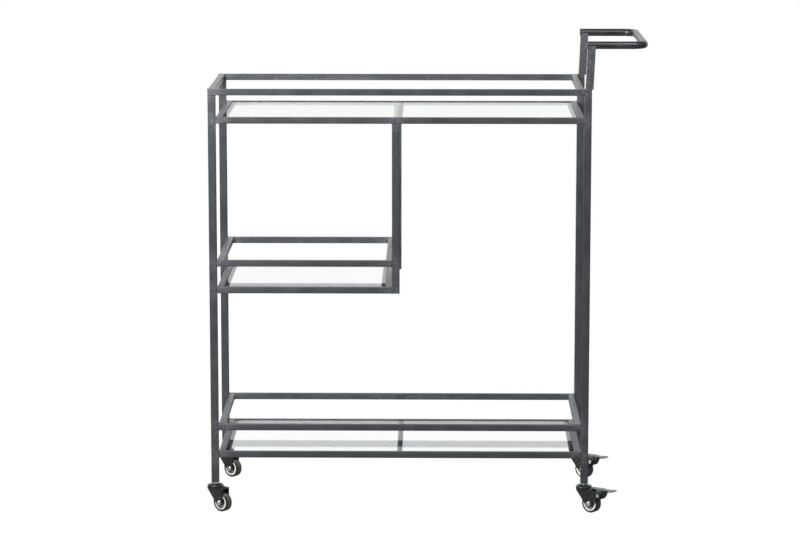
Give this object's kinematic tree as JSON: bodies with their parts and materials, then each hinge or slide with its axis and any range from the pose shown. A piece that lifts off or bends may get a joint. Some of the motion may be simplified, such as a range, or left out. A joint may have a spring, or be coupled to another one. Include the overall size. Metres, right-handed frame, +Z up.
{
  "type": "bar cart",
  "caption": "Rolling bar cart: welded square-tube frame, recessed glass shelves with guard rails, a half shelf, a tube push handle and swivel casters, some with foot brakes.",
  "frame": {"origin": "on the floor, under the middle of the overall box seen from above", "axes": "+Z up, +X along the cart towards the handle end, -Y the front"},
  "size_m": [0.9266, 0.3873, 1],
  "materials": {
    "frame_steel": "satin dark grey lacquer over brushed steel, weld marks at the joints",
    "handle_steel": "near-black lacquer, slightly glossy",
    "clear_glass": "clear, polished edges with a green tint",
    "zinc_plated_steel": "bright zinc plate",
    "black_steel": "satin black over pressed steel",
    "pedal_steel": "dull grey over pressed steel",
    "hub_plastic": "off-white moulded plastic",
    "tyre_rubber": "dull black rubber",
    "black_plastic": "dull black moulded plastic"
  },
  "bodies": {
    "frame": {"post_front_left": "frame_steel", "post_front_right": "frame_steel", "post_back_left": "frame_steel", "post_back_right": "frame_steel", "top_guard_front": "frame_steel", "top_guard_back": "frame_steel", "top_guard_sides": "frame_steel", "top_shelf_front": "frame_steel", "top_shelf_back": "frame_steel", "top_shelf_sides": "frame_steel", "top_shelf_ledges": "frame_steel", "top_shelf_bar": "frame_steel", "half_guard_front": "frame_steel", "half_guard_back": "frame_steel", "half_guard_sides": "frame_steel", "half_shelf_front": "frame_steel", "half_shelf_back": "frame_steel", "half_shelf_sides": "frame_steel", "half_shelf_ledges": "frame_steel", "hanger_front": "frame_steel", "hanger_back": "frame_steel", "bottom_guard_front": "frame_steel", "bottom_guard_back": "frame_steel", "bottom_guard_sides": "frame_steel", "bottom_shelf_front": "frame_steel", "bottom_shelf_back": "frame_steel", "bottom_shelf_sides": "frame_steel", "bottom_shelf_ledges": "frame_steel", "bottom_shelf_bar": "frame_steel", "top_glass": "clear_glass", "half_glass": "clear_glass", "bottom_glass": "clear_glass", "handle_upright_front": "frame_steel", "handle_upright_back": "frame_steel", "handle_bar": "handle_steel", "post_inserts": "black_plastic", "caster_stems": "zinc_plated_steel", "caster_caps": "black_steel"},
    "swivel_front_left": {"fork_front_left": "black_steel", "axle_front_left": "zinc_plated_steel"},
    "wheel_front_left": {"hub_front_left": "hub_plastic", "tyre_front_left": "tyre_rubber"},
    "swivel_back_left": {"fork_back_left": "black_steel", "axle_back_left": "zinc_plated_steel"},
    "wheel_back_left": {"hub_back_left": "hub_plastic", "tyre_back_left": "tyre_rubber"},
    "swivel_front_right": {"fork_front_right": "black_steel", "axle_front_right": "zinc_plated_steel", "brake_rivet_front": "zinc_plated_steel"},
    "wheel_front_right": {"hub_front_right": "hub_plastic", "tyre_front_right": "tyre_rubber"},
    "brake_front_right": {"brake_pedal_front": "pedal_steel", "brake_shoe_front": "black_plastic"},
    "swivel_back_right": {"fork_back_right": "black_steel", "axle_back_right": "zinc_plated_steel", "brake_rivet_back": "zinc_plated_steel"},
    "wheel_back_right": {"hub_back_right": "hub_plastic", "tyre_back_right": "tyre_rubber"},
    "brake_back_right": {"brake_pedal_back": "pedal_steel", "brake_shoe_back": "black_plastic"}
  },
  "joints": [
    {"name": "swivel_front_left", "type": "hinge", "parent": "frame", "child": "swivel_front_left", "pos_m": [-0.4457, -0.13892, 0.048], "axis": [0, 0, 1], "continuous": true},
    {"name": "roll_front_left", "type": "hinge", "parent": "swivel_front_left", "child": "wheel_front_left", "pos_m": [-0.42994, -0.15123, 0.02], "axis": [0.6157, 0.788, 0], "continuous": true},
    {"name": "swivel_back_left", "type": "hinge", "parent": "frame", "child": "swivel_back_left", "pos_m": [-0.4457, 0.17508, 0.048], "axis": [0, 0, 1], "continuous": true},
    {"name": "roll_back_left", "type": "hinge", "parent": "swivel_back_left", "child": "wheel_back_left", "pos_m": [-0.42994, 0.16277, 0.02], "axis": [0.6157, 0.788, 0], "continuous": true},
    {"name": "swivel_front_right", "type": "hinge", "parent": "frame", "child": "swivel_front_right", "pos_m": [0.3383, -0.13892, 0.048], "axis": [0, 0, 1], "continuous": true},
    {"name": "roll_front_right", "type": "hinge", "parent": "swivel_front_right", "child": "wheel_front_right", "pos_m": [0.35406, -0.15123, 0.02], "axis": [0.6157, 0.788, 0], "continuous": true},
    {"name": "brake_front_right", "type": "hinge", "parent": "swivel_front_right", "child": "brake_front_right", "pos_m": [0.37297, -0.16601, 0.0412], "axis": [0.6157, 0.788, 0], "range_deg": [0, 12]},
    {"name": "swivel_back_right", "type": "hinge", "parent": "frame", "child": "swivel_back_right", "pos_m": [0.3383, 0.17508, 0.048], "axis": [0, 0, 1], "continuous": true},
    {"name": "roll_back_right", "type": "hinge", "parent": "swivel_back_right", "child": "wheel_back_right", "pos_m": [0.35406, 0.16277, 0.02], "axis": [0.6157, 0.788, 0], "continuous": true},
    {"name": "brake_back_right", "type": "hinge", "parent": "swivel_back_right", "child": "brake_back_right", "pos_m": [0.37297, 0.14799, 0.0412], "axis": [0.6157, 0.788, 0], "range_deg": [0, 12]}
  ]
}
